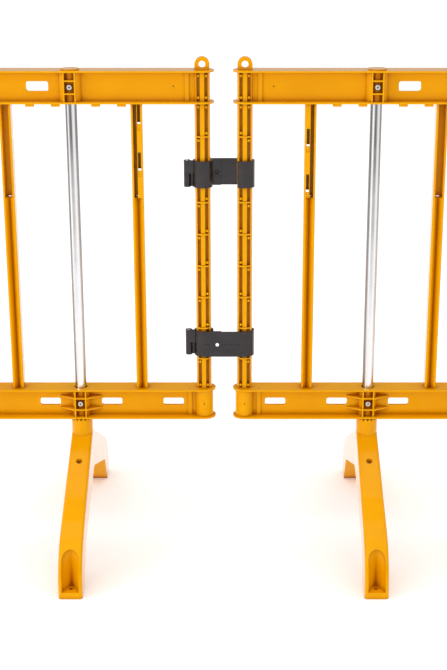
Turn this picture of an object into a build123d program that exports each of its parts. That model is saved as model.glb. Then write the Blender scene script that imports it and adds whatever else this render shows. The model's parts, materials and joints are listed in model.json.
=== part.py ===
"""Two moulded crowd barrier panels on turning feet, linked by two hinged clamp couplers.

Frame: millimetres, +Z up, +X along the panels, -Y is the front. The origin is on the floor,
under the middle of the link between the two panels.
"""
from build123d import *
import os
from math import cos, radians, sin

os.makedirs("parts", exist_ok=True)

# ---- panel layout
BAR_PITCH = 140.0  # from one upright to the next
BAYS = 14  # pitches between a panel's two end posts
TUBE_POSITION = 2  # pitches from an end post to the steel tube beside it
LINK_SPAN = 91.0  # between the two end posts that are joined
LOW_RAIL_Z = 286.0  # underside of the bottom rail
HIGH_RAIL_Z = 1001.0  # underside of the top rail

# ---- rails
RAIL_DEPTH = 52.0
RAIL_HEIGHT = 70.0
FLANGE = 4.0
WEB = 7.0
DRUM_RADIUS = 20.5  # closed end of the bottom rail
DRUM_VENT_RADIUS = 1.6
DRUM_VENT_DEPTH = 3.0
WEB_RIDGE_OFFSET = 32.5  # from the end post
WEB_RIDGE_WIDTH = 9.0
WEB_RIDGE_PROUD = 3.0
LOW_SLOT_LENGTH = 46.0
LOW_SLOT_HEIGHT = 17.0
HIGH_SLOT_LENGTH = 46.5
HIGH_SLOT_HEIGHT = 20.5
SLOT_CORNER = 4.5
LUG_WIDTH = 19.0
LUG_HEIGHT = 5.5
LUG_DEPTH = 6.0
LUG_EDGE_GAP = 2.0  # from the flange's front edge
LUG_OFFSETS = (55.0, 109.5)  # from the upright on their left

# ---- boss round each tube
LOW_BOSS_RADIUS = 21.0
HIGH_BOSS_RADIUS = 24.0
BOSS_RIB = 3.2
POCKET_WIDTH = 20.5
POCKET_DEPTH = 15.0
MID_POCKET_HEIGHT = 24.0
BOSS_INSET = 1.5  # its front stays this far behind the flange's edge
SLEEVE_WALL = 2.6  # plastic round the tube at the bottom of the pockets
SEAT_RADIUS = 5.0  # round seat under a tube screw's head
SEAT_PROUD = 4.4
CAP_RADIUS = 20.5  # round cap over each tube, on the top rail
CAP_HEIGHT = 2.5
GUSSET = 3.4
GUSSET_TIP_PROUD = 3.0

# ---- steel tubes and what holds them
TUBE_RADIUS = 12.5
TUBE_WALL = 1.5
TUBE_FIT = 0.25  # radial slack in the top rail
TUBE_LOOSE_FIT = 1.6  # radial slack in the bottom rail
TUBE_CEILING = 14.0  # plastic above the tube's top end
SCREW_RADIUS = 2.5
SCREW_HEAD_RADIUS = 5.6
SCREW_HEAD = 3.6
SCREW_HEAD_ROUNDING = 1.2
SCREW_FIT = 0.05
SCREW_REACH = 3.0  # past the inside of the tube's wall
DRIVE_WIDTH = 1.2
DRIVE_LENGTH = 5.6
DRIVE_DEPTH = 1.4
PLUG_LENGTH = 30.0
BOLT_RADIUS = 4.0
BOLT_ENGAGEMENT = 24.0
BOLT_HEAD_ACROSS = 13.0
BOLT_HEAD = 5.3
WASHER_RADIUS = 16.0
WASHER = 2.5

# ---- end posts
POST_RADIUS = 17.0
POST_WEB = 6.0
FIN_HALF_WIDTH = 4.8
FIN_SINK = 3.0  # the fin's front lies behind the ribs
GROOVE_WIDTH = 6.9
POST_CELLS = 9
POST_RIB = 3.4
KNOB_RADIUS = 2.9
KNOB_SINK = 4.4  # from the post's front, so that the knobs clear the couplers
KNOB_ROOT = 1.5  # how far a knob reaches into the web between the grooves
KNOB_SHIFT = 0.1  # from the groove's middle towards the post's edge
KNOB_OFFSET = 8.0  # from a rib or an end
LOOP_RADIUS = 16.0
LOOP_BORE_RADIUS = 7.4
LOOP_THICKNESS = 12.0
LOOP_SILL = 3.95

# ---- bars
BAR_WIDTH = 25.0
BAR_DEPTH = 30.0
BAR_CORNER = 2.5
BAR_FLANGE = 4.6  # side walls
BAR_BACK = 4.0  # skin behind the deep channels, and in front of the slotted column
VALLEY_HALF_WIDTH = 8.0
VALLEY_DEPTH = 12.0
CHANNEL_LENGTH = 205.0  # upper part, below the top rail
SLOTTED_WIDTH = 6.4  # column with slits, in the bars next to an end post
BAR_FIN = 1.4  # between the slotted column and the deep channel
FIRST_SLITS = ((54.0, 92.0), (153.0, 192.0))  # top and bottom, below the top rail
LAST_SLITS = ((2.0, 44.0), (105.0, 145.0))
SLIT_LEDGE = 12.5  # shallow recess below each slit
SLIT_LEDGE_DEPTH = 1.2
EJECTOR_RADIUS = 2.0  # small studs on the side wall of the plain bars
EJECTOR_PROUD = 1.2
EJECTOR_DROPS = (16.0, 168.0)  # below the top rail
EJECTOR_INSET = 8.0  # behind the bar's front

# ---- feet
FOOT_REACH = 341.0
FOOT_WIDTH = 52.0
FOOT_ROOT_WIDTH = 48.0
HUB_RADIUS = 24.0
HUB_GAP = 0.5  # to the rail's underside
NEAR = 0.5  # closeness used when edges and corners are chosen for rounding
FOOT_FIT = 0.06  # radial clearance on the tube
TOOTH_COUNT = 16
TOOTH_HEIGHT = 5.5
TOOTH_RING = 6.0
RIDGE_Z = 254.5  # where the slopes of the two legs would meet
LEG_SLOPE = 0.476
KNEE_RADIUS = 120.0
LEG_EDGE_RADIUS = 7.0
TOE_OVERRUN = 6.0  # how far the pocket's outline runs out in front of the toe
HUB_UNDER_Z = 180.0  # ceiling under the hub
ARCH_TOP_Z = 162.0
ARCH_TOP_RADIUS = 60.0
HEEL_REACH = 238.0
HEEL_Z = 74.0
HEEL_RADIUS = 25.0
PAD_LENGTH = 53.0
SIDE_WALL = 5.0
TOP_SKIN = 7.0
CORE_START = 36.0
CORE_END = 236.0
LEG_HOLE_RADIUS = 7.0
LEG_HOLE_REACH = 91.0
TOE_POCKET_WIDTH = 36.0
TOE_LEDGE_Z = 15.0
TOE_LEDGE_DEPTH = 11.0  # ledge beside the cheeks
TOE_VALLEY_DEPTH = 36.0  # ledge at the middle
TOE_FOLD = 3.0  # depth of the valley where it begins, at the top
TOE_POCKET_TOP = 100.0
ANCHOR_RADIUS = 4.5
ANCHOR_REACH = 322.0

# ---- couplers
COUPLER_HEIGHT = 58.0
LOW_COUPLER_Z = 463.5  # mid height of the lower coupler
HIGH_COUPLER_Z = 848.0
COUPLER_FIT = 0.5  # radial clearance on the posts
COUPLER_WALL = 4.0
HOOK_LAP = 48.0  # degrees that the hook reaches past the front of its post
KNUCKLE_RADIUS = 7.5
KNUCKLE_GAP = 1.0  # between a knuckle's bridge and the hinge line
KNUCKLE_OFFSET = 33.5  # hinge pin from the left post's axis
SPLIT_ANGLE = 4.0  # degrees from each half's end to the hinge line
JAW_GAP = 0.3
HINGE_PIN_RADIUS = 3.0
HINGE_FIT = 0.05
PIN_HEAD_RADIUS = 4.6
PIN_HEAD = 1.5
CATCH_LENGTH = 22.0
STUD_X = -15.5
STUD_RADIUS = 2.8
STUD_HEAD_RADIUS = 4.0
STUD_HEAD = 2.0
STUD_SINK = 2.0  # its tip lies below the catch's face
STUD_ROUNDING = 1.0
STUD_SLOT_RADIUS = 4.5
SEAM_WIDTH = 1.2
SEAM_DEPTH = 0.8

# ---- worked out from the sizes above
PANEL_SPAN = BAYS * BAR_PITCH
PANEL_STEP = PANEL_SPAN + LINK_SPAN
LEFT_X = -LINK_SPAN / 2 - PANEL_SPAN  # left end post of the left panel
RIGHT_X = LINK_SPAN / 2  # left end post of the right panel
HALF_DEPTH = RAIL_DEPTH / 2
RAIL_INNER = RAIL_HEIGHT - 2 * FLANGE
LOW_RAIL_TOP = LOW_RAIL_Z + RAIL_HEIGHT
HIGH_RAIL_TOP = HIGH_RAIL_Z + RAIL_HEIGHT
UPRIGHT_LENGTH = HIGH_RAIL_Z - LOW_RAIL_TOP
TUBE_OFFSETS = (TUBE_POSITION * BAR_PITCH, (BAYS - TUBE_POSITION) * BAR_PITCH)
TUBE_TOP = HIGH_RAIL_TOP - TUBE_CEILING
TUBE_BOTTOM = HUB_UNDER_Z - HUB_GAP
HUB_TOP = LOW_RAIL_Z - HUB_GAP
BOSS_FRONT = HALF_DEPTH - BOSS_INSET
SLEEVE_RADIUS = TUBE_RADIUS + SLEEVE_WALL
SEAT_Y = SLEEVE_RADIUS + SEAT_PROUD  # where the tube screws' heads sit
COUPLER_INNER = POST_RADIUS + COUPLER_FIT
COUPLER_OUTER = COUPLER_INNER + COUPLER_WALL
HINGE_X = -LINK_SPAN / 2 - KNUCKLE_OFFSET


def save(piece, name):
    """Label a finished piece and write it."""
    piece.label = name
    export_step(piece, f"parts/{name}.step")


def facing_front(x, y, z):
    """A plane whose normal points to the front, with its x along the panel."""
    return Plane(origin=(x, y, z), x_dir=(1, 0, 0), z_dir=(0, -1, 0))


# ---------------------------------------------------------------- profiles
def flange_profile(x, z):
    """Plan of a rail flange: straight sides and round ends about the end posts."""
    with BuildSketch(Plane((x, 0, z))) as profile:
        with Locations((PANEL_SPAN / 2, 0)):
            SlotCenterToCenter(PANEL_SPAN, RAIL_DEPTH)
    return profile.sketch


def web_profile(x, z):
    """Plan of a rail's web, with the ridge near each end post."""
    with BuildSketch(Plane((x, 0, z))) as profile:
        with Locations((PANEL_SPAN / 2, 0)):
            Rectangle(PANEL_SPAN, WEB)
        with Locations((WEB_RIDGE_OFFSET, 0), (PANEL_SPAN - WEB_RIDGE_OFFSET, 0)):
            Rectangle(WEB_RIDGE_WIDTH, WEB + 2 * WEB_RIDGE_PROUD)
    return profile.sketch


def boss_profile(x, z, radius):
    """Plan of the bosses round the two tubes: a round core with flat pads front and back."""
    with BuildSketch(Plane((x, 0, z))) as profile:
        with Locations(*[(offset, 0) for offset in TUBE_OFFSETS]):
            Circle(radius)
            Rectangle(POCKET_WIDTH + 2 * BOSS_RIB, 2 * BOSS_FRONT)
    return profile.sketch


def groove_profile():
    """Plan of what is cut from a round post: two grooves in front, two behind, and the fins' sink."""
    with BuildSketch() as profile:
        with Locations((0, POST_RADIUS), (0, -POST_RADIUS)):
            Rectangle(2 * FIN_HALF_WIDTH, 2 * FIN_SINK)
        groove_x = FIN_HALF_WIDTH + GROOVE_WIDTH / 2
        groove_y = POST_WEB / 2 + POST_RADIUS / 2
        with GridLocations(2 * groove_x, 2 * groove_y, 2, 2):
            Rectangle(GROOVE_WIDTH, POST_RADIUS)
    return profile.sketch


def post_profile(x, z):
    """Plan of an end post inside a rail."""
    with BuildSketch(Plane((x, 0, z))) as profile:
        Circle(POST_RADIUS)
        add(groove_profile(), mode=Mode.SUBTRACT)
    return profile.sketch


def slots_profile(x, z, offsets, length, height):
    """Rounded slots in the web, drawn on the centre plane of a rail."""
    with BuildSketch(facing_front(x, 0, z)) as profile:
        with Locations(*[(offset, 0) for offset in offsets]):
            RectangleRounded(length, height, SLOT_CORNER)
    return profile.sketch


def pockets_profile(x, z, front):
    """The three pockets in the front or back face of each tube boss."""
    small = (RAIL_INNER - MID_POCKET_HEIGHT) / 2 - BOSS_RIB
    shift = (MID_POCKET_HEIGHT + small) / 2 + BOSS_RIB
    with BuildSketch(facing_front(x, -front * BOSS_FRONT, z)) as profile:
        with Locations(*[(offset, 0) for offset in TUBE_OFFSETS]):
            Rectangle(POCKET_WIDTH, MID_POCKET_HEIGHT)
            with Locations((0, shift), (0, -shift)):
                Rectangle(POCKET_WIDTH, small)
    return profile.sketch


def gusset_profile(x, z):
    """Plan of the gussets that run from each boss of the bottom rail to the slots beside it."""
    reach = BAR_PITCH / 2 - LOW_SLOT_LENGTH / 2
    root = LOW_BOSS_RADIUS * cos(radians(45))
    tip = WEB / 2 + GUSSET_TIP_PROUD
    with BuildSketch(Plane((x, 0, z))) as profile:
        with Locations(*[(offset, 0) for offset in TUBE_OFFSETS]):
            Polygon(
                (-reach, -tip), (-root, -BOSS_FRONT), (root, -BOSS_FRONT), (reach, -tip),
                (reach, tip), (root, BOSS_FRONT), (-root, BOSS_FRONT), (-reach, tip),
                align=None,
            )
    return profile.sketch


def screw_positions(x, z):
    """The seats in the middle pockets, where the tube screws go."""
    return [facing_front(x + offset, -SEAT_Y, z) for offset in TUBE_OFFSETS]


def tube_circles(x, z, radius):
    """Plan of a circle about each of a panel's two tubes."""
    with BuildSketch(Plane((x, 0, z))) as profile:
        with Locations(*[(offset, 0) for offset in TUBE_OFFSETS]):
            Circle(radius)
    return profile.sketch


def add_pockets(x, low, mid, bore, length):
    """Cut the pockets of a rail's bosses, leaving the tube sleeves and screw seats in them."""
    for front in (1, -1):
        extrude(pockets_profile(x, mid, front), amount=-front * POCKET_DEPTH, mode=Mode.SUBTRACT)
    extrude(tube_circles(x, low + FLANGE, SLEEVE_RADIUS), amount=RAIL_INNER)
    with Locations(*screw_positions(x, mid)):
        Cylinder(SEAT_RADIUS, SEAT_Y, align=(Align.CENTER, Align.CENTER, Align.MAX))
    extrude(tube_circles(x, low, bore), amount=length, mode=Mode.SUBTRACT)
    with Locations(*screw_positions(x, mid)):
        Cylinder(SCREW_RADIUS + SCREW_FIT, 2 * (SEAT_Y - TUBE_RADIUS), mode=Mode.SUBTRACT)


# ---------------------------------------------------------------- panel pieces
def make_bottom_rail(x, name):
    """Bottom rail: I-section with closed round ends, a slot in every bay and two bosses."""
    mid = LOW_RAIL_Z + RAIL_HEIGHT / 2
    bays = [BAR_PITCH * (bay + 0.5) for bay in range(BAYS)]
    with BuildPart() as rail:
        extrude(flange_profile(x, LOW_RAIL_Z), amount=FLANGE)
        extrude(flange_profile(x, LOW_RAIL_TOP - FLANGE), amount=FLANGE)
        extrude(web_profile(x, LOW_RAIL_Z + FLANGE), amount=RAIL_INNER)
        extrude(boss_profile(x, LOW_RAIL_Z + FLANGE, LOW_BOSS_RADIUS), amount=RAIL_INNER)
        with BuildSketch(Plane((x, 0, LOW_RAIL_Z + FLANGE))):
            with Locations((0, 0), (PANEL_SPAN, 0)):
                Circle(DRUM_RADIUS)
        extrude(amount=RAIL_INNER)
        step = (MID_POCKET_HEIGHT + GUSSET) / 2
        for height in (mid - step, mid + step):
            extrude(gusset_profile(x, height), amount=GUSSET / 2, both=True)
        slots = slots_profile(x, mid, bays, LOW_SLOT_LENGTH, LOW_SLOT_HEIGHT)
        extrude(slots, amount=HALF_DEPTH, both=True, mode=Mode.SUBTRACT)
        add_pockets(x, LOW_RAIL_Z, mid, TUBE_RADIUS + TUBE_LOOSE_FIT, RAIL_HEIGHT)
        vents = [facing_front(x + end, -DRUM_RADIUS, mid) for end in (0, PANEL_SPAN)]
        with Locations(*vents):
            Cylinder(DRUM_VENT_RADIUS, 2 * DRUM_VENT_DEPTH, mode=Mode.SUBTRACT)
    save(rail.part, name)


def make_top_rail(x, name):
    """Top rail: I-section with the post ends, the lifting loops, two slots, lugs and capped bosses."""
    mid = HIGH_RAIL_Z + RAIL_HEIGHT / 2
    slot_bays = (TUBE_OFFSETS[0] + BAR_PITCH / 2, TUBE_OFFSETS[1] - BAR_PITCH / 2)
    knob_z = RAIL_INNER / 2 - KNOB_OFFSET
    lugs = [
        BAR_PITCH * upright + offset
        for upright in range(1, BAYS - 1)
        for offset in LUG_OFFSETS
    ]
    with BuildPart() as rail:
        extrude(flange_profile(x, HIGH_RAIL_Z), amount=FLANGE)
        extrude(flange_profile(x, HIGH_RAIL_TOP - FLANGE), amount=FLANGE)
        extrude(web_profile(x, HIGH_RAIL_Z + FLANGE), amount=RAIL_INNER)
        extrude(boss_profile(x, HIGH_RAIL_Z + FLANGE, HIGH_BOSS_RADIUS), amount=RAIL_INNER)
        for end in (0, PANEL_SPAN):
            extrude(post_profile(x + end, HIGH_RAIL_Z + FLANGE), amount=RAIL_INNER)
            add_knobs(x + end, [(side, mid + rise) for side in (1, -1) for rise in (knob_z, -knob_z)])
        extrude(tube_circles(x, HIGH_RAIL_TOP, CAP_RADIUS), amount=CAP_HEIGHT)
        slots = slots_profile(x, mid, slot_bays, HIGH_SLOT_LENGTH, HIGH_SLOT_HEIGHT)
        extrude(slots, amount=HALF_DEPTH, both=True, mode=Mode.SUBTRACT)
        add_pockets(x, HIGH_RAIL_Z, mid, TUBE_RADIUS + TUBE_FIT, RAIL_HEIGHT - TUBE_CEILING)
        lug_y = -HALF_DEPTH + LUG_EDGE_GAP + LUG_DEPTH / 2
        with BuildSketch(Plane((x, 0, HIGH_RAIL_Z))):
            with Locations(*[(lug, lug_y) for lug in lugs]):
                Rectangle(LUG_WIDTH, LUG_DEPTH)
        extrude(amount=-LUG_HEIGHT)
        loop_z = HIGH_RAIL_TOP + LOOP_SILL + LOOP_BORE_RADIUS
        with BuildSketch(facing_front(x, 0, loop_z)):
            with Locations((0, 0), (PANEL_SPAN, 0)):
                Circle(LOOP_RADIUS)
                drop = LOOP_SILL + LOOP_BORE_RADIUS
                with Locations((0, -drop / 2)):
                    Rectangle(2 * LOOP_RADIUS, drop)
                Circle(LOOP_BORE_RADIUS, mode=Mode.SUBTRACT)
        extrude(amount=LOOP_THICKNESS / 2, both=True)
    save(rail.part, name)


def add_knobs(x, places):
    """Small round ejector knobs in a post's grooves; places are (side, z) seen from the front.

    The back has the same knobs turned half round, so a post looks alike from both sides.
    """
    knob_x = FIN_HALF_WIDTH + GROOVE_WIDTH / 2 + KNOB_SHIFT
    root = POST_WEB / 2 - KNOB_ROOT
    tip = POST_RADIUS - KNOB_SINK
    for side, z in places:
        for front in (1, -1):
            centre = facing_front(x + front * side * knob_x, -front * (root + tip) / 2, z)
            with Locations(centre):
                Cylinder(KNOB_RADIUS, tip - root)


def end_post(hand):
    """End post between the rails: grooved round post with cross ribs and ejector knobs.

    The posts at a panel's two ends are mirror images; hand is -1 at the left end and 1 at the right.
    """
    cell = UPRIGHT_LENGTH / POST_CELLS
    ribs = [LOW_RAIL_TOP + cell * rib for rib in range(1, POST_CELLS)]
    knobs = [(side * hand, rib + side * KNOB_OFFSET) for rib in ribs for side in (1, -1)]
    ends = (LOW_RAIL_TOP + KNOB_OFFSET, HIGH_RAIL_Z - KNOB_OFFSET)
    knobs += [(side, z) for side in (1, -1) for z in ends]
    with BuildPart() as post:
        with BuildSketch(Plane((0, 0, LOW_RAIL_TOP))):
            Circle(POST_RADIUS)
        extrude(amount=UPRIGHT_LENGTH)
        cells = [LOW_RAIL_TOP + cell * number + POST_RIB / 2 for number in range(POST_CELLS)]
        with BuildSketch(*[Plane((0, 0, low)) for low in cells]):
            add(groove_profile())
        extrude(amount=cell - POST_RIB, mode=Mode.SUBTRACT)
        add_knobs(0, knobs)
    return post.part


def cut_box(x_low, x_high, y_low, y_high, z_low, z_high):
    """Cut a plain box, given its limits."""
    centre = ((x_low + x_high) / 2, (y_low + y_high) / 2, (z_low + z_high) / 2)
    with Locations(centre):
        Box(x_high - x_low, y_high - y_low, z_high - z_low, mode=Mode.SUBTRACT)


def bar_blank(x):
    """A bar's outside with the V-shaped valleys in the front and back of its lower part."""
    face = BAR_DEPTH / 2
    with BuildPart(mode=Mode.PRIVATE) as blank:
        with BuildSketch(Plane((x, 0, LOW_RAIL_TOP))):
            RectangleRounded(BAR_WIDTH, BAR_DEPTH, BAR_CORNER)
        extrude(amount=UPRIGHT_LENGTH)
        with BuildSketch(Plane((x, 0, LOW_RAIL_TOP))):
            for side in (1, -1):
                Polygon(
                    (-VALLEY_HALF_WIDTH, side * face), (VALLEY_HALF_WIDTH, side * face),
                    (0, side * (face - VALLEY_DEPTH)),
                    align=None,
                )
        extrude(amount=UPRIGHT_LENGTH - CHANNEL_LENGTH, mode=Mode.SUBTRACT)
    return blank.part


def plain_bar():
    """Bar with V-shaped valleys below and one deep open channel in its upper part."""
    half = BAR_WIDTH / 2 - BAR_FLANGE
    face = BAR_DEPTH / 2
    with BuildPart() as bar:
        add(bar_blank(0))
        cut_box(-half, half, -face, face - BAR_BACK, HIGH_RAIL_Z - CHANNEL_LENGTH, HIGH_RAIL_Z)
        for drop in EJECTOR_DROPS:
            for side in (1, -1):
                wall = Plane(
                    origin=(side * half, EJECTOR_INSET - face, HIGH_RAIL_Z - drop),
                    z_dir=(-side, 0, 0),
                )
                with Locations(wall):
                    Cylinder(EJECTOR_RADIUS, 2 * EJECTOR_PROUD)
    return bar.part


def make_slotted_bar(x, side, slits, name):
    """Bar next to an end post: a deep channel beside a column with slits.

    The column's skin is in front between the slits and at the back behind them.
    """
    face = BAR_DEPTH / 2
    low = HIGH_RAIL_Z - CHANNEL_LENGTH
    outer = side * (BAR_WIDTH / 2 - BAR_FLANGE)
    inner = outer - side * SLOTTED_WIDTH
    fin = inner - side * BAR_FIN
    column = sorted((x + outer, x + inner))
    channel = sorted((x + fin, x - outer))
    skin = BAR_BACK - face
    with BuildPart() as bar:
        add(bar_blank(x))
        cut_box(*channel, -face, -skin, low, HIGH_RAIL_Z)
        cut_box(*column, skin, -skin, low, HIGH_RAIL_Z)
        floor = low
        for top, bottom in reversed(slits):
            slit_low, slit_high = HIGH_RAIL_Z - bottom, HIGH_RAIL_Z - top
            cut_box(*column, -face, skin, slit_low, slit_high)
            cut_box(*column, -face, SLIT_LEDGE_DEPTH - face, slit_low - SLIT_LEDGE, slit_low)
            cut_box(*column, -skin, face, floor, slit_low)
            floor = slit_high
        if floor < HIGH_RAIL_Z - SLIT_LEDGE:
            cut_box(*column, -skin, face, floor, HIGH_RAIL_Z)
    save(bar.part, name)


def make_tube(x, name):
    """Galvanised tube from the top rail down through the bottom rail and the foot."""
    mids = (LOW_RAIL_Z + RAIL_HEIGHT / 2, HIGH_RAIL_Z + RAIL_HEIGHT / 2)
    with BuildPart() as tube:
        with BuildSketch(Plane((x, 0, TUBE_BOTTOM))):
            Circle(TUBE_RADIUS)
            Circle(TUBE_RADIUS - TUBE_WALL, mode=Mode.SUBTRACT)
        extrude(amount=TUBE_TOP - TUBE_BOTTOM)
        with Locations(*[facing_front(x, -TUBE_RADIUS, mid) for mid in mids]):
            Cylinder(SCREW_RADIUS + SCREW_FIT, TUBE_RADIUS, mode=Mode.SUBTRACT)
    save(tube.part, name)


def make_tube_screws(x, name):
    """Pan-head screws that hold both tubes of a panel in its two rails."""
    mids = (LOW_RAIL_Z + RAIL_HEIGHT / 2, HIGH_RAIL_Z + RAIL_HEIGHT / 2)
    seats = [seat for mid in mids for seat in screw_positions(x, mid)]
    shank = SEAT_Y - TUBE_RADIUS + TUBE_WALL + SCREW_REACH
    with BuildPart() as screws:
        with Locations(*seats):
            Cylinder(SCREW_RADIUS, shank, align=(Align.CENTER, Align.CENTER, Align.MAX))
            Cylinder(SCREW_HEAD_RADIUS, SCREW_HEAD, align=(Align.CENTER, Align.CENTER, Align.MIN))
        heads = screws.faces().filter_by(Axis.Y).group_by(Axis.Y)[0]
        fillet(heads.edges(), radius=SCREW_HEAD_ROUNDING)
        with Locations(*[seat.offset(SCREW_HEAD) for seat in seats]):
            Box(DRIVE_LENGTH, DRIVE_WIDTH, 2 * DRIVE_DEPTH, mode=Mode.SUBTRACT)
            Box(DRIVE_WIDTH, DRIVE_LENGTH, 2 * DRIVE_DEPTH, mode=Mode.SUBTRACT)
    save(screws.part, name)


def at_tubes(x, z):
    """The axes of a panel's two tubes at one height."""
    return [Plane((x + offset, 0, z)) for offset in TUBE_OFFSETS]


def make_tube_plugs(x, name):
    """Threaded plugs in the bottom ends of the tubes."""
    with BuildPart() as plugs:
        with Locations(*at_tubes(x, TUBE_BOTTOM)):
            Cylinder(
                TUBE_RADIUS - TUBE_WALL, PLUG_LENGTH, align=(Align.CENTER, Align.CENTER, Align.MIN)
            )
            Cylinder(BOLT_RADIUS, 2 * BOLT_ENGAGEMENT, mode=Mode.SUBTRACT)
    save(plugs.part, name)


def make_foot_washers(x, name):
    """Washers under the feet, clamped to the ends of the tubes."""
    with BuildPart() as washers:
        with Locations(*at_tubes(x, TUBE_BOTTOM)):
            Cylinder(WASHER_RADIUS, WASHER, align=(Align.CENTER, Align.CENTER, Align.MAX))
            Cylinder(BOLT_RADIUS, 2 * WASHER, mode=Mode.SUBTRACT)
    save(washers.part, name)


def make_foot_bolts(x, name):
    """Hexagon bolts that go up through the washers into the plugs."""
    head_z = TUBE_BOTTOM - WASHER
    with BuildPart() as bolts:
        with BuildSketch(Plane((x, 0, head_z))):
            with Locations(*[(offset, 0) for offset in TUBE_OFFSETS]):
                RegularPolygon(BOLT_HEAD_ACROSS / 2, 6, major_radius=False)
        extrude(amount=-BOLT_HEAD)
        with BuildSketch(Plane((x, 0, head_z))):
            with Locations(*[(offset, 0) for offset in TUBE_OFFSETS]):
                Circle(BOLT_RADIUS)
        extrude(amount=WASHER + BOLT_ENGAGEMENT)
    save(bolts.part, name)


# ---------------------------------------------------------------- feet
SIDE = Plane(origin=(0, 0, 0), x_dir=(0, 1, 0), z_dir=(1, 0, 0))  # its x is reach, its y height


def both_ways(half):
    """A closed outline from half of it, mirrored about the foot's axis."""
    return half + [(-reach, z) for reach, z in reversed(half)]


def leg_blank():
    """One sloping leg, towards +Y, bent down to the floor in a large knee, with rounded edges."""
    knee_z = RIDGE_Z - LEG_SLOPE * FOOT_REACH
    root = FOOT_ROOT_WIDTH / 2
    tip = FOOT_WIDTH / 2
    with BuildPart(mode=Mode.PRIVATE) as leg:
        with BuildSketch(SIDE):
            Polygon((0, RIDGE_Z), (FOOT_REACH, knee_z), (FOOT_REACH, 0), (0, 0), align=None)
            knee = vertices().sort_by(Axis.X)[-2:].sort_by(Axis.Y)[-1]
            fillet(knee, radius=KNEE_RADIUS)
        extrude(amount=FOOT_WIDTH, both=True)
        with BuildSketch():
            Polygon((-root, 0), (-tip, FOOT_REACH), (tip, FOOT_REACH), (root, 0), align=None)
        extrude(amount=RIDGE_Z, mode=Mode.INTERSECT)
        long_edges = leg.edges().filter_by(Axis.X, reverse=True)
        outline = [e for e in long_edges if e.center().Z > NEAR and e.center().Y > NEAR]
        fillet(outline, radius=LEG_EDGE_RADIUS)
    return leg.part


def arch_profile():
    """Side view of the opening between the toes."""
    half = [(HEEL_REACH, HEEL_Z), (FOOT_REACH - PAD_LENGTH, 0)]
    with BuildSketch(SIDE) as profile:
        Polygon((0, ARCH_TOP_Z), *both_ways(half), align=None)
        corners = profile.vertices().sort_by(Axis.Y)
        fillet(corners[-1], radius=ARCH_TOP_RADIUS)
        heels = [v for v in profile.vertices() if abs(v.Y - HEEL_Z) < NEAR]
        fillet(heels, radius=HEEL_RADIUS)
    return profile.sketch


def core_profile():
    """The hollow in the underside of the legs and hub, below the top skin."""
    top = RIDGE_Z - TOP_SKIN
    half = [
        (CORE_START, HUB_UNDER_Z),
        (CORE_START, top - LEG_SLOPE * CORE_START),
        (CORE_END, top - LEG_SLOPE * CORE_END),
        (CORE_END, 0),
    ]
    with BuildSketch(SIDE) as profile:
        Polygon(*both_ways(half), align=None)
    return profile.sketch


def toe_pocket_profile(z, floor, valley):
    """Plan of a toe's pocket at one height: straight cheeks and a floor folded into a valley."""
    half = TOE_POCKET_WIDTH / 2
    face = FOOT_REACH + TOE_OVERRUN
    with BuildSketch(Plane((0, 0, z))) as profile:
        Polygon((-half, face), (half, face), (half, floor), (0, valley), (-half, floor), align=None)
    return profile.sketch


def toe_pocket():
    """A toe's pocket: open to the front, round at the top, with a ledge at the bottom."""
    valley = FOOT_REACH - TOE_VALLEY_DEPTH
    half = TOE_POCKET_WIDTH / 2
    with BuildPart(mode=Mode.PRIVATE) as pocket:
        loft(
            [
                toe_pocket_profile(TOE_LEDGE_Z, FOOT_REACH - TOE_LEDGE_DEPTH, valley),
                toe_pocket_profile(TOE_POCKET_TOP, valley, valley - TOE_FOLD),
            ],
            ruled=True,
        )
        with BuildSketch(Plane.XZ):
            with Locations((0, TOE_POCKET_TOP - half)):
                Circle(half)
            with Locations((0, (TOE_LEDGE_Z + TOE_POCKET_TOP - half) / 2)):
                Rectangle(2 * half, TOE_POCKET_TOP - half - TOE_LEDGE_Z)
        extrude(amount=-2 * FOOT_REACH, mode=Mode.INTERSECT)
    return pocket.part


def tooth_notch():
    """One notch between two teeth of the hub, pointing along +X."""
    pitch = 2 * HUB_RADIUS * sin(radians(180 / TOOTH_COUNT))
    with BuildPart(mode=Mode.PRIVATE) as notch:
        with BuildSketch(Plane.YZ.offset(HUB_RADIUS - TOOTH_RING)):
            Polygon((-pitch / 2, TOOTH_HEIGHT), (pitch / 2, TOOTH_HEIGHT), (0, 0), align=None)
        extrude(amount=2 * TOOTH_RING)
    return notch.part


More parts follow.
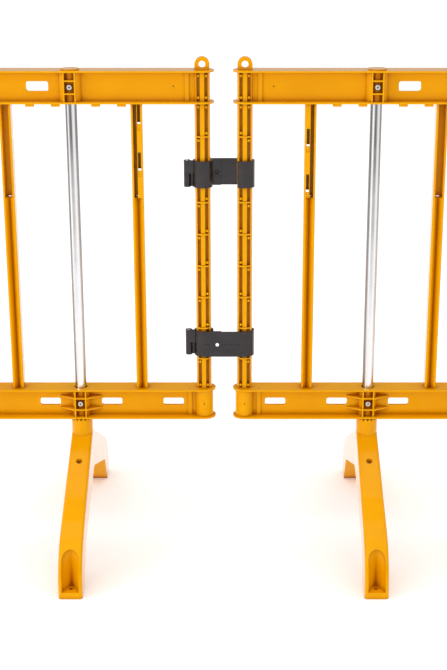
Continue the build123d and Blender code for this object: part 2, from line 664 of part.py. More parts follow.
def turning_foot():
    """Turning foot: toothed hub on the tube, two hollow legs and toes with anchor holes."""
    core_half = FOOT_ROOT_WIDTH / 2 - SIDE_WALL
    with BuildPart() as foot:
        for turn in (0, 180):
            with Locations(Location((0, 0, 0), (0, 0, turn))):
                add(leg_blank())
        extrude(arch_profile(), amount=FOOT_WIDTH, both=True, mode=Mode.SUBTRACT)
        extrude(core_profile(), amount=core_half, both=True, mode=Mode.SUBTRACT)
        with BuildSketch(Plane.XY.offset(HUB_UNDER_Z)):
            Circle(HUB_RADIUS)
        extrude(amount=HUB_TOP - HUB_UNDER_Z)
        with Locations((0, 0, HUB_TOP - TOOTH_HEIGHT)):
            with PolarLocations(0, TOOTH_COUNT):
                add(tooth_notch(), mode=Mode.SUBTRACT)
        with Locations((0, LEG_HOLE_REACH, RIDGE_Z), (0, -LEG_HOLE_REACH, RIDGE_Z)):
            Cylinder(LEG_HOLE_RADIUS, 2 * (RIDGE_Z - ARCH_TOP_Z), mode=Mode.SUBTRACT)
        for turn in (0, 180):
            with Locations(Location((0, 0, 0), (0, 0, turn))):
                add(toe_pocket(), mode=Mode.SUBTRACT)
        with Locations((0, ANCHOR_REACH, 0), (0, -ANCHOR_REACH, 0)):
            Cylinder(ANCHOR_RADIUS, 3 * TOE_LEDGE_Z, mode=Mode.SUBTRACT)
        with BuildSketch():
            Circle(TUBE_RADIUS + FOOT_FIT)
        extrude(amount=HUB_TOP, mode=Mode.SUBTRACT)
    return foot.part


# ---------------------------------------------------------------- couplers
def coupler_frame(z, turned):
    """A coupler's own frame; the turned one is the same part rolled over, plate to the front."""
    return Plane(origin=(0, 0, z), x_dir=(1, 0, 0), z_dir=(0, 0, -1 if turned else 1))


def across(frame, x, y):
    """A plane in a coupler's frame at mid height, with its normal along the frame's y."""
    centre = frame.from_local_coords((x, y, 0))
    return Plane(origin=centre, x_dir=frame.x_dir, z_dir=frame.y_dir)


def ring_sector(centre_x, start, sweep):
    """Plan of the part of a coupler's barrel between two angles."""
    with BuildSketch() as sector:
        with BuildLine():
            outer = CenterArc((centre_x, 0), COUPLER_OUTER, start, sweep)
            inner = CenterArc((centre_x, 0), COUPLER_INNER, start, sweep)
            Line(outer @ 0, inner @ 0)
            Line(outer @ 1, inner @ 1)
        make_face()
    return sector.sketch


def knuckle_profile(plane, side):
    """Plan of a hinge knuckle and its bridge to the barrel, on one side of the hinge line."""
    bridge_end = -LINK_SPAN / 2 - (COUPLER_INNER + COUPLER_WALL / 2)
    length = bridge_end - HINGE_X
    with BuildSketch(plane) as profile:
        with Locations((HINGE_X, 0)):
            Circle(KNUCKLE_RADIUS)
        with Locations((HINGE_X + length / 2, side * (KNUCKLE_RADIUS + KNUCKLE_GAP) / 2)):
            Rectangle(length, KNUCKLE_RADIUS - KNUCKLE_GAP)
        with Locations((HINGE_X, 0)):
            Circle(HINGE_PIN_RADIUS + HINGE_FIT, mode=Mode.SUBTRACT)
    return profile.sketch


def make_coupler_body(frame, name):
    """Coupler body: flat plate, fixed hook round the right post, quarter barrel on the left one."""
    post_x = LINK_SPAN / 2
    half = COUPLER_HEIGHT / 2
    with BuildPart() as body:
        with BuildSketch(frame):
            with Locations((0, (COUPLER_INNER + COUPLER_OUTER) / 2)):
                Rectangle(LINK_SPAN, COUPLER_WALL)
            add(ring_sector(-post_x, 90, 90 - SPLIT_ANGLE))
            add(ring_sector(post_x, 90, -180 - HOOK_LAP))
        extrude(amount=half, both=True)
        extrude(knuckle_profile(frame.offset(-half), 1), amount=half - JAW_GAP)
        with BuildSketch(across(frame, 0, COUPLER_OUTER)):
            Rectangle(LINK_SPAN, SEAM_WIDTH)
        extrude(amount=SEAM_DEPTH, both=True, mode=Mode.SUBTRACT)
        with Locations(across(frame, STUD_X, COUPLER_OUTER)):
            Cylinder(STUD_RADIUS + HINGE_FIT, 4 * COUPLER_WALL, mode=Mode.SUBTRACT)
    save(body.part, name)


def make_coupler_jaw(frame, name):
    """Coupler jaw: half barrel round the left post, with a catch flange behind the plate."""
    post_x = -LINK_SPAN / 2
    half = COUPLER_HEIGHT / 2
    wall_x = post_x + COUPLER_INNER
    catch_y = COUPLER_INNER - JAW_GAP
    with BuildPart() as jaw:
        with BuildSketch(frame):
            add(ring_sector(post_x, 180 + SPLIT_ANGLE, 180 - SPLIT_ANGLE))
            with Locations((wall_x + COUPLER_WALL / 2, catch_y / 2)):
                Rectangle(COUPLER_WALL, catch_y)
            with Locations((wall_x + CATCH_LENGTH / 2, catch_y - COUPLER_WALL / 2)):
                Rectangle(CATCH_LENGTH, COUPLER_WALL)
        extrude(amount=half, both=True)
        extrude(knuckle_profile(frame.offset(JAW_GAP), -1), amount=half - 2 * JAW_GAP)
        with Locations(across(frame, STUD_X, catch_y)):
            Cylinder(STUD_SLOT_RADIUS, 3 * COUPLER_WALL, mode=Mode.SUBTRACT)
    save(jaw.part, name)


def make_hinge_pin(frame, name):
    """Riveted hinge pin of a coupler."""
    half = COUPLER_HEIGHT / 2
    with BuildPart() as pin:
        with BuildSketch(frame):
            with Locations((HINGE_X, 0)):
                Circle(HINGE_PIN_RADIUS)
        extrude(amount=half, both=True)
        for end in (half, -half - PIN_HEAD):
            with BuildSketch(frame.offset(end)):
                with Locations((HINGE_X, 0)):
                    Circle(PIN_HEAD_RADIUS)
            extrude(amount=PIN_HEAD)
    save(pin.part, name)


def make_lock_stud(frame, name):
    """Stud through the plate, round which the jaw's catch snaps."""
    catch_face = COUPLER_INNER - JAW_GAP - COUPLER_WALL
    length = COUPLER_OUTER - catch_face - STUD_SINK
    with BuildPart() as stud:
        with BuildSketch(across(frame, STUD_X, COUPLER_OUTER)):
            Circle(STUD_RADIUS)
        extrude(amount=-length)
        tip = stud.faces().sort_by(Axis.Y)[0 if frame.z_dir.Z > 0 else -1]
        fillet(tip.edges(), radius=STUD_ROUNDING)
        with BuildSketch(across(frame, STUD_X, COUPLER_OUTER)):
            Circle(STUD_HEAD_RADIUS)
        extrude(amount=STUD_HEAD)
    save(stud.part, name)


# ---------------------------------------------------------------- the assembly
def make_panel(side, x):
    """Every piece of one panel; x is its left end post. The joined ends are called inner."""
    ends = ("outer", "inner") if side == "left" else ("inner", "outer")
    make_top_rail(x, f"{side}_top_rail")
    make_bottom_rail(x, f"{side}_bottom_rail")
    for end, offset, post in zip(ends, (0, PANEL_SPAN), POSTS):
        save(Location((x + offset, 0, 0)) * post, f"{side}_{end}_post")
    uprights = [n for n in range(1, BAYS) if n not in (TUBE_POSITION, BAYS - TUBE_POSITION)]
    for number, upright in enumerate(uprights, start=1):
        bar_x, name = x + upright * BAR_PITCH, f"{side}_bar_{number:02d}"
        if upright == 1:
            make_slotted_bar(bar_x, -1, FIRST_SLITS, name)
        elif upright == BAYS - 1:
            make_slotted_bar(bar_x, 1, LAST_SLITS, name)
        else:
            save(Location((bar_x, 0, 0)) * PLAIN_BAR, name)
    for end, offset in zip(ends, TUBE_OFFSETS):
        make_tube(x + offset, f"{side}_{end}_tube")
        save(Location((x + offset, 0, 0)) * FOOT, f"{side}_{end}_foot")
    make_tube_screws(x, f"{side}_tube_screws")
    make_tube_plugs(x, f"{side}_tube_plugs")
    make_foot_washers(x, f"{side}_foot_washers")
    make_foot_bolts(x, f"{side}_foot_bolts")


POSTS = (end_post(-1), end_post(1))
PLAIN_BAR, FOOT = plain_bar(), turning_foot()
make_panel("left", LEFT_X)
make_panel("right", RIGHT_X)
for level, height, is_turned in (("lower", LOW_COUPLER_Z, True), ("upper", HIGH_COUPLER_Z, False)):
    own_frame = coupler_frame(height, is_turned)
    make_coupler_body(own_frame, f"{level}_coupler_body")
    make_coupler_jaw(own_frame, f"{level}_coupler_jaw")
    make_hinge_pin(own_frame, f"{level}_hinge_pin")
    make_lock_stud(own_frame, f"{level}_lock_stud")
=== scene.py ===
"""Looks for the linked pair of crowd barrier panels: camera, light, materials, moulded details and painted
shade.
"""
import json
import math

import bmesh
import bpy
from mathutils import Matrix, Vector


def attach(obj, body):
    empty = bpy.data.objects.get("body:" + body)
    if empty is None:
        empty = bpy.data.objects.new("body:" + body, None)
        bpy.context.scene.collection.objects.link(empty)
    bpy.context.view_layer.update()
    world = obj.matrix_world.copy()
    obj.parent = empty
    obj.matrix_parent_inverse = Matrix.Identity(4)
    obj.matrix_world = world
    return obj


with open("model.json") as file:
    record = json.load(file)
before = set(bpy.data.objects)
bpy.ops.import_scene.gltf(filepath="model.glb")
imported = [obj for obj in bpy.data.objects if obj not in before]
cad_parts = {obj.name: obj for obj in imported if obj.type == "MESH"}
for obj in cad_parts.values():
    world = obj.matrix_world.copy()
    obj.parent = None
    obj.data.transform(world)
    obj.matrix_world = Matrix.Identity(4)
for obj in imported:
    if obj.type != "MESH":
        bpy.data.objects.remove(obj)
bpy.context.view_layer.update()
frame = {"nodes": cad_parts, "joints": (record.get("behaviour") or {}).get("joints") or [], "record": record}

nodes = frame["nodes"]

# Lengths and places are in metres, but the camera's lens and sensor are in millimetres.


# ---------------------------------------------------------------- camera
SENSOR_WIDTH = 36.0
LENS = 77.43
SHIFT = -0.0187
CAMERA_PLACE = (0.0265, -3.07, 1.50)
CAMERA_PITCH = math.radians(18.4)


def make_camera():
    """A long lens a little above the top rails, looking slightly down at the link."""
    data = bpy.data.cameras.new("camera")
    data.sensor_width = SENSOR_WIDTH
    data.lens = LENS
    data.shift_x = SHIFT
    camera = bpy.data.objects.new("camera", data)
    camera.location = CAMERA_PLACE
    camera.rotation_euler = (math.pi / 2 - CAMERA_PITCH, 0, 0)
    bpy.context.scene.collection.objects.link(camera)
    bpy.context.scene.camera = camera


make_camera()


# ---------------------------------------------------------------- light and floor
# The world's brightness, as (how far a direction points upwards, brightness).
WORLD_LEVELS = ((0.0, 0.45), (0.16, 0.34), (0.26, 0.08), (0.46, 0.08), (0.60, 1.0))
WORLD_STRENGTH = 1.38
FLOOR_REACH = 30.0
FLOOR_WHITE = 0.92
FLOOR_GLOW = 0.2


def set_stops(ramp, stops):
    """Give a colour ramp node its stops, each (position, colour), in order of position."""
    elements = ramp.color_ramp.elements
    while len(elements) < len(stops):
        elements.new(1.0)
    for element, (position, colour) in zip(elements, stops):
        element.position = position
        element.color = (*colour, 1)


def area_light(name, place, target, size, power):
    """A square soft light at place, turned towards target."""
    data = bpy.data.lights.new(name, "AREA")
    data.size = size
    data.energy = power
    light = bpy.data.objects.new(name, data)
    light.location = place
    light.rotation_euler = (Vector(target) - Vector(place)).to_track_quat("-Z", "Y").to_euler()
    bpy.context.scene.collection.objects.link(light)


def make_world():
    """A studio with a bright white ceiling and grey walls low down all round."""
    world = bpy.data.worlds.new("studio")
    world.use_nodes = True
    tree = world.node_tree
    background = tree.nodes["Background"]
    direction = tree.nodes.new("ShaderNodeTexCoord").outputs["Generated"]
    split = tree.nodes.new("ShaderNodeSeparateXYZ")
    ramp = tree.nodes.new("ShaderNodeValToRGB")
    set_stops(ramp, [(height, (level, level, level)) for height, level in WORLD_LEVELS])
    tree.links.new(direction, split.inputs["Vector"])
    tree.links.new(split.outputs["Z"], ramp.inputs["Fac"])
    tree.links.new(ramp.outputs["Color"], background.inputs["Color"])
    background.inputs["Strength"].default_value = WORLD_STRENGTH
    bpy.context.scene.world = world


def make_floor():
    """A matt white floor that glows a little."""
    signs = ((-1, -1), (1, -1), (1, 1), (-1, 1))
    corners = [(x * FLOOR_REACH, y * FLOOR_REACH, 0) for x, y in signs]
    mesh = bpy.data.meshes.new("floor")
    mesh.from_pydata(corners, [], [(0, 1, 2, 3)])
    floor = bpy.data.objects.new("floor", mesh)
    bpy.context.scene.collection.objects.link(floor)
    material = bpy.data.materials.new("floor_white")
    material.use_nodes = True
    inputs = material.node_tree.nodes["Principled BSDF"].inputs
    inputs["Base Color"].default_value = (FLOOR_WHITE, FLOOR_WHITE, FLOOR_WHITE, 1)
    inputs["Roughness"].default_value = 1.0
    inputs["Specular IOR Level"].default_value = 0.0
    inputs["Emission Color"].default_value = (1, 1, 1, 1)
    inputs["Emission Strength"].default_value = FLOOR_GLOW
    mesh.materials.append(material)


make_world()
area_light("front", place=(-1.5, -6.0, 4.0), target=(0, 0, 0.6), size=4.5, power=48)
area_light("key", place=(-3.6, -2.6, 2.2), target=(0, 0, 0.7), size=1.2, power=34)
make_floor()
bpy.context.scene.view_settings.view_transform = "Standard"


# ---------------------------------------------------------------- places on the object
ENDS = {"left": ("outer", "inner"), "right": ("inner", "outer")}  # each panel's ends, in order of x
JOINT_X = {joint["name"]: joint["pos_m"][0] for joint in frame["joints"]}
MOUNT_X = {mount["name"]: mount["pos_m"][0] for mount in frame["record"]["mounts"]}
TUBES = {
    side: [JOINT_X[f"{side}_{end}_foot_turn"] for end in ends] for side, ends in ENDS.items()
}
POSTS = {
    side: [MOUNT_X[f"{side}_{end}_lifting_loop"] for end in ends] for side, ends in ENDS.items()
}
TUBE_OFFSET, OUTER_TUBE_OFFSET = TUBES["right"]
TUBE_SPACING = OUTER_TUBE_OFFSET - TUBE_OFFSET
TUBE_WIDTH = 0.025
RAIL_MIDDLES = (0.321, 1.036)  # heights of the two rails' middles
LOW_RAIL_TOP = 0.356
WEB_FACE = 0.0035  # the front of a rail's web
SEAT_Y = 0.0195  # where the tube screws' heads sit
SCREW_HEAD = 0.0036
WEB_DOT_INSET = 0.061  # from the end post's axis
FLANGE_DOT_INSET = 0.033
FLANGE_DOT_Y = -0.012
LEG_HOLE_REACH = 0.091  # from the tube's axis to the hole in a leg
LEG_HOLE_Z = 0.2035  # just under the leg's skin


# ---------------------------------------------------------------- material tools
NOISE_SPREAD = (0.3, 0.7)  # nearly all of a noise's values lie between these
NOISE_MIDDLE = 0.5
EDGE_WIDTH = 0.0012
SHARP_LEAN = 0.75  # cosine of the lean at which an edge counts as fully sharp
RECESS_OPENNESS = (0.30, 0.80)  # how open a point is at a recess's bottom, and outside it
BEVEL_SAMPLES = 4
OCCLUSION_SAMPLES = 6
MIX_FACTOR, MIX_FIRST, MIX_SECOND = 0, 6, 7  # a mix node's inputs when it mixes colours
MIX_RESULT = 2


class Graph:
    """A small helper that adds and joins the nodes of one material."""

    def __init__(self, name):
        self.material = bpy.data.materials.new(name)
        self.material.use_nodes = True
        self.tree = self.material.node_tree
        self.shader = self.tree.nodes["Principled BSDF"]
        self.coords = self.add("ShaderNodeTexCoord").outputs["Object"]

    def add(self, kind, **settings):
        """A new node with these properties."""
        node = self.tree.nodes.new(kind)
        for key, value in settings.items():
            setattr(node, key, value)
        return node

    def join(self, source, target):
        """Link one node's output to another's input."""
        self.tree.links.new(source, target)

    def split(self):
        """The object coordinates' three values."""
        node = self.add("ShaderNodeSeparateXYZ")
        self.join(self.coords, node.inputs["Vector"])
        return node.outputs

    def stretched(self, scale):
        """The object coordinates, scaled differently along each axis."""
        mapping = self.add("ShaderNodeMapping")
        mapping.inputs["Scale"].default_value = scale
        self.join(self.coords, mapping.inputs["Vector"])
        return mapping.outputs["Vector"]

    def noise(self, scale, detail, roughness=0.5, coords=None):
        """Fractal noise; a higher scale is finer."""
        node = self.add("ShaderNodeTexNoise")
        node.inputs["Scale"].default_value = scale
        node.inputs["Detail"].default_value = detail
        node.inputs["Roughness"].default_value = roughness
        self.join(coords or self.coords, node.inputs["Vector"])
        return node.outputs["Fac"]

    def ramp(self, value, stops):
        """A colour from a value; stops are (position, colour)."""
        node = self.add("ShaderNodeValToRGB")
        set_stops(node, stops)
        self.join(value, node.inputs["Fac"])
        return node.outputs["Color"]

    def mottle(self, noise, dark, pale, spread=NOISE_SPREAD):
        """A colour that goes from dark to pale with a noise."""
        return self.ramp(noise, list(zip(spread, (dark, pale))))

    def math(self, operation, first, second=0.0):
        """One operation on two values, each a plain number or another node's output."""
        node = self.add("ShaderNodeMath", operation=operation)
        for socket, value in zip(node.inputs, (first, second)):
            if isinstance(value, float):
                socket.default_value = value
            else:
                self.join(value, socket)
        return node.outputs[0]

    def remap(self, value, start, end):
        """The value, stretched so that the range start becomes the range end."""
        node = self.add("ShaderNodeMapRange")
        for label, (low, high) in (("From", start), ("To", end)):
            node.inputs[f"{label} Min"].default_value = low
            node.inputs[f"{label} Max"].default_value = high
        self.join(value, node.inputs["Value"])
        return node.outputs["Result"]

    def wobble(self, value, noise, amount):
        """The value, moved up and down by a noise."""
        swing = self.math("SUBTRACT", noise, NOISE_MIDDLE)
        return self.math("ADD", value, self.math("MULTIPLY", swing, amount))

    def mix(self, factor, first, second):
        """Between two colours, each a plain one or another node's output."""
        node = self.add("ShaderNodeMix", data_type="RGBA")
        self.join(factor, node.inputs[MIX_FACTOR])
        for value, place in ((first, MIX_FIRST), (second, MIX_SECOND)):
            socket = node.inputs[place]
            if isinstance(value, tuple):
                socket.default_value = (*value, 1)
            else:
                self.join(value, socket)
        return node.outputs[MIX_RESULT]

    def bevel(self, radius):
        """The normal, rounded at edges."""
        node = self.add("ShaderNodeBevel", samples=BEVEL_SAMPLES)
        node.inputs["Radius"].default_value = radius
        return node.outputs["Normal"]

    def edge_mask(self):
        """White on sharp edges: how far the rounded normal leans from the true one."""
        dot = self.add("ShaderNodeVectorMath", operation="DOT_PRODUCT")
        self.join(self.bevel(EDGE_WIDTH), dot.inputs[0])
        self.join(self.add("ShaderNodeNewGeometry").outputs["Normal"], dot.inputs[1])
        return self.remap(dot.outputs["Value"], start=(1.0, SHARP_LEAN), end=(0.0, 1.0))

    def worn(self, colour, worn_colour, scuffs):
        """The colour, with the worn colour on the edges where the scuffs are high; on the yellow plastic
        these paler edges are partly scuff wear and partly a painted edge highlight.
        """
        return self.mix(self.math("MULTIPLY", self.edge_mask(), scuffs), colour, worn_colour)

    def recess(self, distance):
        """Low in narrow recesses and 1 in the open: the mask by which shade is painted into recesses."""
        shade = self.add("ShaderNodeAmbientOcclusion", samples=OCCLUSION_SAMPLES)
        shade.inputs["Distance"].default_value = distance
        return self.remap(shade.outputs["AO"], start=RECESS_OPENNESS, end=(0.0, 1.0))

    def colour(self, source):
        """Paint the surface with a node's colour."""
        self.join(source, self.shader.inputs["Base Color"])

    def finish(self, noise, low, high):
        """Let the roughness go from low to high with a noise."""
        roughness = self.remap(noise, start=NOISE_SPREAD, end=(low, high))
        self.join(roughness, self.shader.inputs["Roughness"])

    def surface(self, height, depth, edge):
        """Bump of this depth from a height, over normals that are rounded at the edges."""
        bump = self.add("ShaderNodeBump")
        bump.inputs["Strength"].default_value = 1.0
        bump.inputs["Distance"].default_value = depth
        self.join(height, bump.inputs["Height"])
        self.join(self.bevel(edge), bump.inputs["Normal"])
        self.join(bump.outputs["Normal"], self.shader.inputs["Normal"])

    def set(self, **values):
        """Set plain values on the shader; names use _ for spaces."""
        for key, value in values.items():
            self.shader.inputs[key.replace("_", " ")].default_value = value


# ---------------------------------------------------------------- materials
# Painted shade: the deep colour the yellow takes in recesses, where shade falls.
YELLOW_PAINTED_RECESS_SHADE = (0.48, 0.13, 0.0)
# Paler edge colour: partly scuff wear, partly a painted highlight on rounded edges.
YELLOW_WORN_AND_HIGHLIT = (0.95, 0.52, 0.08)
ORANGE_GLOSS = (1.0, 0.45, 0.0, 1.0)
CHARCOAL_WORN = (0.17, 0.16, 0.17)
DULL_ZINC = (0.62, 0.62, 0.64)
GREY_BLUENESS = 1.02  # a grey's blue against its red and green
ALONG_TUBE = (1.0, 1.0, 0.01)  # stretches a noise into streaks that run up the tube


def yellow_plastic():
    """Moulded yellow-orange plastic: faint flow clouds, painted shade deeper in recesses, and paler scuffed
    edges, partly wear and partly a painted edge highlight.
    """
    g = Graph("yellow_plastic")
    flow = g.noise(scale=9.0, detail=4.0, roughness=0.6)
    clouds = g.mottle(flow, dark=(0.84, 0.365, 0.0), pale=(0.89, 0.405, 0.0))
    # Painted shade: recesses take a deeper colour, standing in for the shade in them.
    shaded = g.mix(g.recess(distance=0.014), YELLOW_PAINTED_RECESS_SHADE, clouds)
    scratches = g.noise(scale=70.0, detail=6.0, roughness=0.7)
    scuffs = g.remap(scratches, start=(0.5, 0.72), end=(0.0, 0.6))
    # Paler edges: partly scuff wear, partly a painted edge highlight.
    g.colour(g.worn(shaded, YELLOW_WORN_AND_HIGHLIT, scuffs))
    g.finish(g.noise(scale=45.0, detail=5.0, roughness=0.65), low=0.16, high=0.26)
    g.surface(g.noise(scale=900.0, detail=3.0, roughness=0.6), depth=0.00004, edge=0.0009)
    g.set(IOR=1.5, Specular_Tint=ORANGE_GLOSS)
    g.set(Coat_Weight=1.0, Coat_IOR=1.17, Coat_Roughness=0.03)
    return g.material


def charcoal_plastic():
    """Dark grey moulded plastic, smooth, with a fine grain and worn, paler edges."""
    g = Graph("charcoal_plastic")
    flow = g.noise(scale=25.0, detail=5.0, roughness=0.6)
    tone = g.mottle(flow, dark=(0.010, 0.007, 0.008), pale=(0.024, 0.018, 0.020))
    scratches = g.noise(scale=160.0, detail=6.0, roughness=0.7)
    scuffs = g.remap(scratches, start=(0.45, 0.7), end=(0.0, 0.8))
    g.colour(g.worn(tone, CHARCOAL_WORN, scuffs))
    g.finish(g.noise(scale=60.0, detail=4.0, roughness=0.6), low=0.14, high=0.28)
    g.surface(g.noise(scale=1500.0, detail=3.0, roughness=0.6), depth=0.00005, edge=0.0012)
    g.set(IOR=1.46)
    return g.material


def across_tube(g):
    """How far a point lies across its tube, from 0 at the left to 1 at the right, and its height."""
    x, _, height = g.split()
    reach = g.math("ABSOLUTE", x)
    outer = g.math("GREATER_THAN", reach, TUBE_OFFSET + TUBE_SPACING / 2)
    axis = g.math("ADD", g.math("MULTIPLY", outer, TUBE_SPACING), TUBE_OFFSET)
    aside = g.math("MULTIPLY", g.math("SUBTRACT", reach, axis), g.math("SIGN", x))
    return g.math("ADD", g.math("DIVIDE", aside, TUBE_WIDTH), 0.5), height


def greys(*stops):
    """Colour stops from (position, brightness), very slightly blue."""
    return [(position, (level, level, GREY_BLUENESS * level)) for position, level in stops]


# Painted reflections: dark and light stripes painted across each tube by position, standing in for the
# surroundings' reflections; they stay put whatever the view.
UPPER_REFLECTION_BANDS = greys(
    (0.06, 0.17), (0.16, 0.20), (0.27, 0.92), (0.35, 0.30), (0.42, 0.10),
    (0.54, 0.15), (0.66, 0.72), (0.78, 0.66), (0.87, 0.20), (0.95, 0.18),
)
LOWER_REFLECTION_BANDS = greys(
    (0.05, 0.22), (0.12, 0.40), (0.24, 0.70), (0.45, 0.78), (0.70, 0.86), (0.88, 0.80), (0.95, 0.26)
)
REFLECTION_BANDS_MEET = (0.50, 0.95)  # heights between which the upper painted reflection bands fade into the lower ones


def galvanised_steel():
    """Galvanised tube with drawn streaks, and painted reflections: dark and light bands above that fade
    downwards.
    """
    g = Graph("galvanised_steel")
    across, height = across_tube(g)
    streaks = g.noise(scale=420.0, detail=3.0, roughness=0.6, coords=g.stretched(ALONG_TUBE))
    drift = g.noise(scale=7.0, detail=3.0, roughness=0.6)
    place = g.wobble(across, streaks, amount=0.12)
    fade = g.remap(g.wobble(height, drift, amount=0.4), start=REFLECTION_BANDS_MEET, end=(0.0, 1.0))
    # Painted reflections: the upper and lower stripes of light and dark, painted into the colour.
    bands = g.mix(fade, g.ramp(place, LOWER_REFLECTION_BANDS), g.ramp(place, UPPER_REFLECTION_BANDS))
    dulling = g.remap(streaks, start=(0.40, 0.70), end=(0.0, 0.22))
    g.colour(g.mix(dulling, bands, DULL_ZINC))
    g.finish(streaks, low=0.14, high=0.30)
    g.surface(streaks, depth=0.00004, edge=0.0005)
    g.set(Metallic=1.0)
    return g.material


def mottled_steel(name, dark, pale, tone_scale, finish_scale, finish, grain_scale, grain_depth):
    """Slightly mottled metal with a fine grain; finish is its least and most roughness."""
    g = Graph(name)
    g.colour(g.mottle(g.noise(scale=tone_scale, detail=4.0, roughness=0.6), dark, pale))
    g.finish(g.noise(scale=finish_scale, detail=3.0), *finish)
    g.surface(g.noise(scale=grain_scale, detail=2.0), depth=grain_depth, edge=0.0004)
    g.set(Metallic=1.0)
    return g.material


def zinc_steel():
    """Zinc plated fasteners."""
    return mottled_steel(
        "zinc_steel", dark=(0.50, 0.50, 0.49), pale=(0.80, 0.80, 0.78), tone_scale=350.0,
        finish_scale=500.0, finish=(0.22, 0.42), grain_scale=1800.0, grain_depth=0.00003,
    )


def bright_steel():
    """Bright plated pins and studs."""
    return mottled_steel(
        "bright_steel", dark=(0.80, 0.80, 0.79), pale=(0.93, 0.93, 0.92), tone_scale=400.0,
        finish_scale=700.0, finish=(0.12, 0.25), grain_scale=2500.0, grain_depth=0.00002,
    )


def shaded_steel():
    """Dark steel, a shaded copy of the bright steel for the upper stud that never sees the light: painted
    shade.
    """
    return mottled_steel(
        "shaded_steel", dark=(0.05, 0.045, 0.045), pale=(0.12, 0.11, 0.11), tone_scale=400.0,
        finish_scale=700.0, finish=(0.3, 0.5), grain_scale=2500.0, grain_depth=0.00002,
    )


def grime_and_shade_plastic():
    """Yellow plastic in narrow recesses, dark with dust and oil; the same dark colour also serves as painted
    shade in holes and under screw heads.
    """
    g = Graph("grime_and_shade_plastic")
    dirt = g.noise(scale=260.0, detail=4.0, roughness=0.7)
    dark, pale = (0.030, 0.014, 0.003), (0.30, 0.13, 0.01)
    g.colour(g.mottle(dirt, dark, pale, spread=(0.35, 0.65)))
    g.finish(g.noise(scale=400.0, detail=3.0), low=0.45, high=0.65)
    g.surface(g.noise(scale=1200.0, detail=2.0), depth=0.00004, edge=0.0004)
    return g.material


MATERIALS = {
    "yellow_plastic": yellow_plastic(),
    "charcoal_plastic": charcoal_plastic(),
    "galvanised_steel": galvanised_steel(),
    "zinc_steel": zinc_steel(),
    "bright_steel": bright_steel(),
}
# Dark material for grime marks and for painted shade.
GRIME_AND_SHADE = grime_and_shade_plastic()


def dress_cad_nodes():
    """Give every CAD node its slot's detailed material, and the upper stud its darker steel of painted
    shade.
    """
    for part in frame["record"]["subparts"]:
        mesh = nodes[part["node"]].data
        mesh.materials.clear()
        mesh.materials.append(MATERIALS[part["material_slot"]])
    # Painted shade: the upper stud gets a darker copy of its steel.
    nodes["upper_lock_stud"].data.materials[0] = shaded_steel()


dress_cad_nodes()


# ---------------------------------------------------------------- moulded details and painted shade
TURNED_STEPS = 24
FRONTWARDS = (0, -1, 0)
UPWARDS = (0, 0, 1)

# Outlines of the turned details, each a row of (radius, height) pairs.
# The ring outline below is painted shadow: a dark ring where the screw head shades the rail.
SCREW_SHADOW_RING = ((0.0050, 0.0), (0.0071, 0.0), (0.0068, 0.0004), (0.0050, 0.0006))
# The socket outline below is painted shade: a dark disc for the depth of the drive socket.
SCREW_SOCKET_SHADE = ((0.0003, -0.0003), (0.0024, -0.0003), (0.0022, 0.0001), (0.0003, 0.0001))
DOT = ((0.0, -0.0002), (0.0017, -0.0002), (0.0017, 0.0003), (0.0012, 0.0006))
# The cup outline below is painted shade in the legs' round holes.
LEG_SOCKET_SHADE = (
    (0.0002, -0.0100), (0.0074, -0.0100), (0.0082, 0.0),
    (0.0072, 0.0), (0.0064, -0.0090), (0.0002, -0.0092),
)


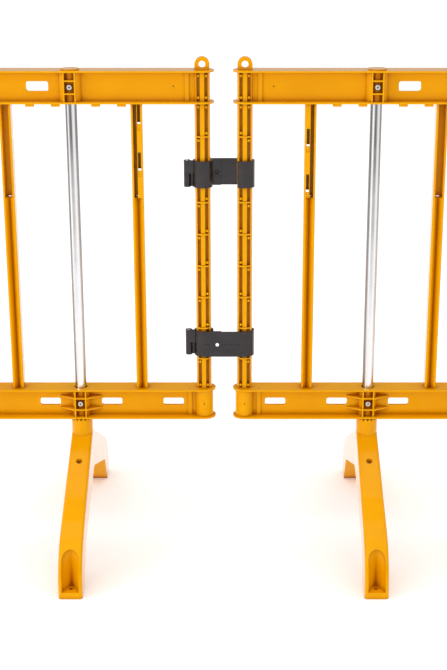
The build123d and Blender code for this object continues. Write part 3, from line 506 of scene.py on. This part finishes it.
def turned(name, place, direction, outline, body):
    """A dark round piece on a CAD body, in the grime and painted shade material: its outline turned about
    direction.
    """
    mesh = bmesh.new()
    rings = []
    for radius, height in outline:
        ring = []
        for step in range(TURNED_STEPS):
            angle = math.tau * step / TURNED_STEPS
            x, y = radius * math.cos(angle), radius * math.sin(angle)
            ring.append(mesh.verts.new((x, y, height)))
        rings.append(ring)
    for lower, upper in zip(rings, rings[1:]):
        for step in range(TURNED_STEPS):
            after = (step + 1) % TURNED_STEPS
            mesh.faces.new((lower[step], lower[after], upper[after], upper[step]))
    mesh.faces.new(list(reversed(rings[0])))
    mesh.faces.new(rings[-1])
    spin = Vector(direction).to_track_quat("Z", "Y").to_matrix().to_4x4()
    bmesh.ops.transform(mesh, matrix=Matrix.Translation(Vector(place)) @ spin, verts=mesh.verts)
    data = bpy.data.meshes.new(name)
    mesh.to_mesh(data)
    mesh.free()
    for face in data.polygons:
        face.use_smooth = len(face.vertices) == 4
    data.materials.append(GRIME_AND_SHADE)
    piece = bpy.data.objects.new(name, data)
    bpy.context.scene.collection.objects.link(piece)
    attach(piece, body)


def screw_surrounds():
    """Dark rings round the tube screws, painted shadow under their heads, and a dark drive socket in each
    head, painted shade in its recess.
    """
    for side, tubes in TUBES.items():
        body = f"{side}_panel"
        for number, x in enumerate(tubes, start=1):
            for level, z in zip(("lower", "upper"), RAIL_MIDDLES):
                tag = f"{side}_{level}_{number}"
                seat = (x, -SEAT_Y, z)
                head = (x, -SEAT_Y - SCREW_HEAD, z)
                # Painted shadow round the screw head.
                turned(f"screw_shadow_ring_{tag}", seat, FRONTWARDS, SCREW_SHADOW_RING, body)
                # Painted shade in the screw head's drive socket.
                turned(f"screw_socket_shade_{tag}", head, FRONTWARDS, SCREW_SOCKET_SHADE, body)


def ejector_dots():
    """Marks of the mould's ejector pins on the rails near the end posts."""
    for side, posts in POSTS.items():
        body = f"{side}_panel"
        for number, (x, inward) in enumerate(zip(posts, (1, -1)), start=1):
            web = (x + inward * WEB_DOT_INSET, -WEB_FACE, RAIL_MIDDLES[1])
            top = (x + inward * FLANGE_DOT_INSET, FLANGE_DOT_Y, LOW_RAIL_TOP)
            turned(f"web_dot_{side}_{number}", web, FRONTWARDS, DOT, body)
            turned(f"flange_dot_{side}_{number}", top, UPWARDS, DOT, body)


def leg_sockets():
    """Dark cups in the round holes on the legs: painted shade for the depth of the moulded sockets."""
    for side, ends in ENDS.items():
        for end, x in zip(ends, TUBES[side]):
            body = f"{side}_{end}_foot_body"
            for way, y in (("front", -LEG_HOLE_REACH), ("rear", LEG_HOLE_REACH)):
                place = (x, y, LEG_HOLE_Z)
                name = f"leg_socket_{side}_{end}_{way}"
                turned(name, place, UPWARDS, LEG_SOCKET_SHADE, body)


screw_surrounds()
ejector_dots()
leg_sockets()
